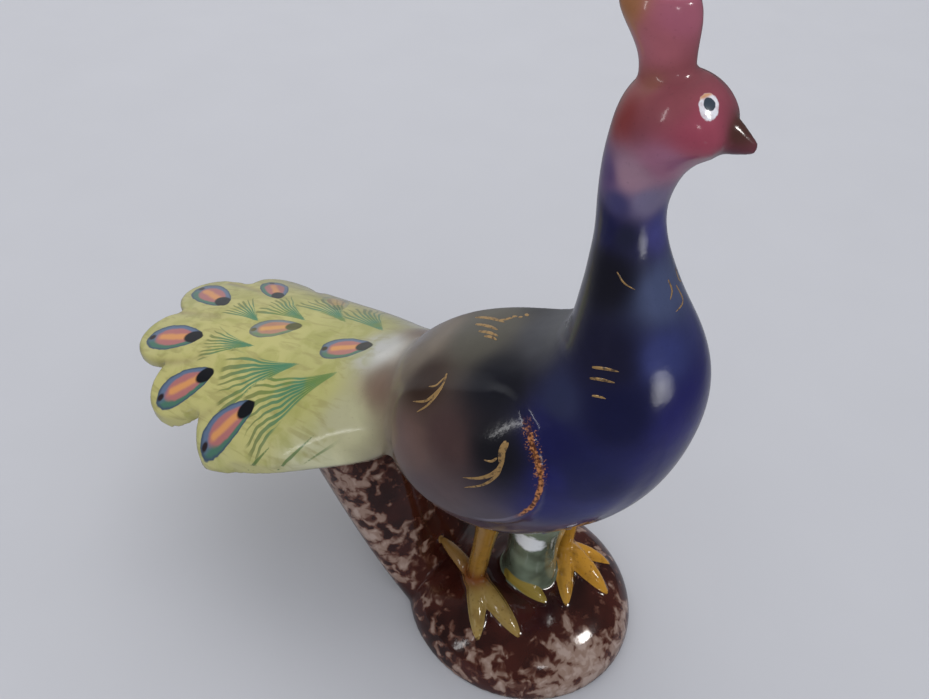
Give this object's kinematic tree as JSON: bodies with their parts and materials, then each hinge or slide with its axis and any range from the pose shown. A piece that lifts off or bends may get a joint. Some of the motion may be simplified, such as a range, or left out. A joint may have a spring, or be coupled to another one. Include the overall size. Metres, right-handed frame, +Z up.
{
  "type": "peacock figurine",
  "caption": "Glazed ceramic peacock with a folded fan tail, standing on a mottled rock that props the tail.",
  "frame": {"origin": "on the flat underside of the rock, below the middle between the feet", "axes": "+X the way the bird faces, +Y its left side, +Z up"},
  "size_m": [0.2403, 0.1079, 0.262],
  "materials": {
    "painted_body": "glossy clear glaze over hand-painted colour: navy and ultramarine, red head, grey-brown flanks, with gold strokes",
    "painted_wing": "glossy clear glaze over hand-painted colour: blue-black front, mauve-brown behind, gilded front edge",
    "painted_tail": "glossy clear glaze over hand-painted colour: pale yellow-green with eye spots and teal barbs",
    "painted_crest": "glossy clear glaze over hand-painted colour: rose pink, darker at the root",
    "painted_beak": "glossy clear glaze over hand-painted colour: olive brown above, dark red below",
    "ochre_glaze": "glossy yellow-ochre glaze",
    "stump_glaze": "thick glossy dark green glaze",
    "rock_glaze": "very glossy red-brown glaze mottled with cream"
  },
  "bodies": {
    "root": {"base_rock": "rock_glaze", "support_stump": "stump_glaze", "right_leg": "ochre_glaze", "left_leg": "ochre_glaze", "right_foot": "ochre_glaze", "left_foot": "ochre_glaze", "body_shell": "painted_body", "right_wing": "painted_wing", "left_wing": "painted_wing", "tail_fan": "painted_tail", "crest": "painted_crest", "beak": "painted_beak"}
  },
  "joints": []
}
